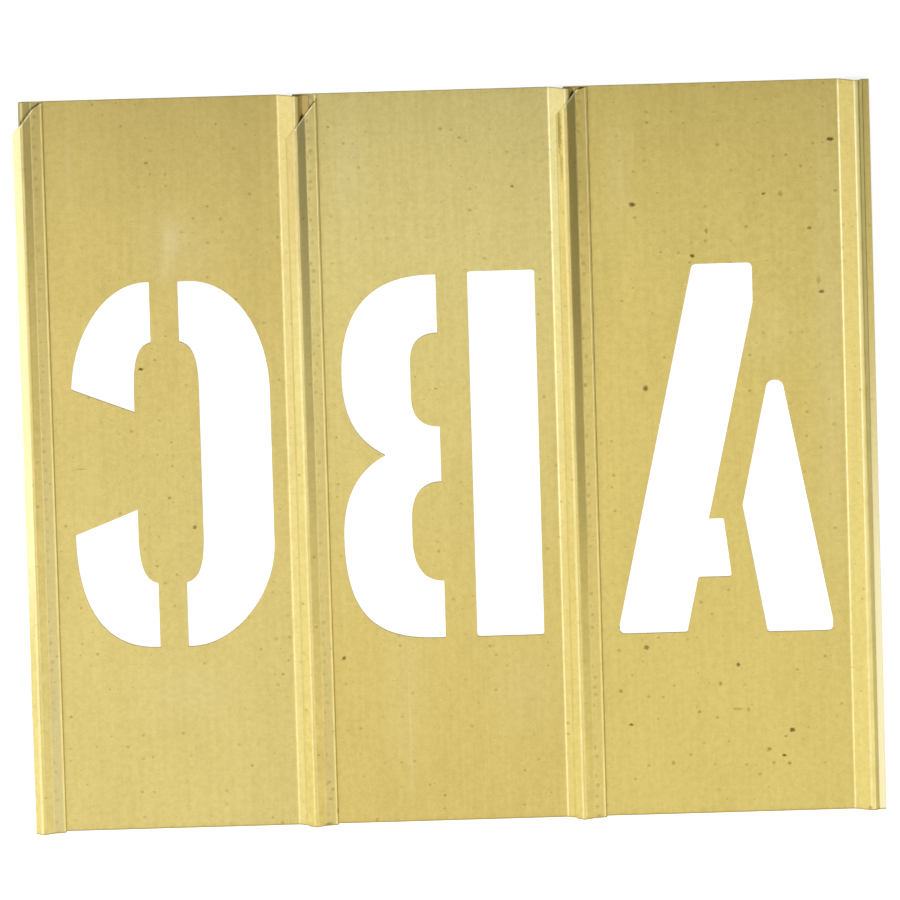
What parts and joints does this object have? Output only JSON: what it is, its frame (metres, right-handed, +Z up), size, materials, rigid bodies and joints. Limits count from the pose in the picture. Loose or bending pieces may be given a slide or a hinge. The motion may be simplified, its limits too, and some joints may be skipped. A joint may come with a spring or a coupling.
{
  "type": "lettering stencil",
  "caption": "Brass lettering stencil: flat letter plates whose folded edges interlock, so that they slide together lengthwise into a word.",
  "frame": {"origin": "middle of the joined plates, on the plane of their smooth underside", "axes": "+X across the word from the C plate to the A plate, +Y along the seams towards the tops of the letters, +Z up from the smooth underside to the raised seams"},
  "size_m": [0.1678, 0.1524, 0.0023],
  "materials": {
    "brass": "satin rolled sheet"
  },
  "bodies": {
    "plate_b": {"plate_b": "brass"},
    "plate_c": {"plate_c": "brass"},
    "plate_a": {"plate_a": "brass"}
  },
  "joints": [
    {"name": "plate_c_slide", "type": "slide", "parent": "plate_b", "child": "plate_c", "axis": [0, 1, 0], "range_m": [-0.155, 0.155]},
    {"name": "plate_a_slide", "type": "slide", "parent": "plate_b", "child": "plate_a", "axis": [0, 1, 0], "range_m": [-0.155, 0.155]}
  ]
}
